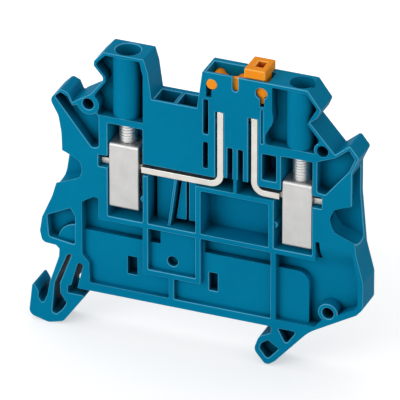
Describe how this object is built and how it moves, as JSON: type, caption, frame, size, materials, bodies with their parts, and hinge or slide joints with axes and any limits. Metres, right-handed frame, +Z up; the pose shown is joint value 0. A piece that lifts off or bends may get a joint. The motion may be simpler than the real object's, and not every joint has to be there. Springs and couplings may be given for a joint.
{
  "type": "disconnect terminal block",
  "caption": "Flat rail-mounted terminal block with a moulded open-sided housing, screw clamps at both ends, bent current bars and a lever that swings a knife contact out of them.",
  "frame": {"origin": "middle of the rail seat, at half the thickness of the block", "axes": "+X along the block from the left clamp to the right clamp, +Y along the rail towards the closed back wall, +Z up from the rail"},
  "size_m": [0.058, 0.0052, 0.0533],
  "materials": {
    "blue_nylon": "satin moulded polyamide",
    "orange_nylon": "satin moulded polyamide",
    "plated_steel": "zinc plated, fine brushed",
    "screw_steel": "zinc plated",
    "tinned_copper": "bright tin plate"
  },
  "bodies": {
    "base": {"housing": "blue_nylon", "left_current_bar": "tinned_copper", "right_current_bar": "tinned_copper"},
    "left_sleeve": {"left_clamp_sleeve": "plated_steel"},
    "right_sleeve": {"right_clamp_sleeve": "plated_steel"},
    "left_screw": {"left_clamp_screw": "screw_steel"},
    "right_screw": {"right_clamp_screw": "screw_steel"},
    "lever": {"disconnect_lever": "orange_nylon", "knife_blade": "tinned_copper"}
  },
  "joints": [
    {"name": "lever_swing", "type": "hinge", "parent": "base", "child": "lever", "pos_m": [0.0074, 0, 0.0421], "axis": [0, -1, 0], "range_deg": [0, 90]},
    {"name": "left_screw_turn", "type": "hinge", "parent": "base", "child": "left_screw", "pos_m": [-0.0079, -0.0001, 0.0327], "axis": [0, 0, -1], "range_deg": [-648, 2376]},
    {"name": "left_sleeve_lift", "type": "slide", "parent": "base", "child": "left_sleeve", "axis": [0, 0, 1], "range_m": [-0.0009, 0.0033]},
    {"name": "right_screw_turn", "type": "hinge", "parent": "base", "child": "right_screw", "pos_m": [0.022, -0.0001, 0.0327], "axis": [0, 0, -1], "range_deg": [0, 3024]},
    {"name": "right_sleeve_lift", "type": "slide", "parent": "base", "child": "right_sleeve", "axis": [0, 0, 1], "range_m": [0, 0.0042]}
  ],
  "couplings": [
    {"joint": "left_screw_turn", "follows": "left_sleeve_lift", "rad_per_m": 12566},
    {"joint": "right_screw_turn", "follows": "right_sleeve_lift", "rad_per_m": 12566}
  ]
}
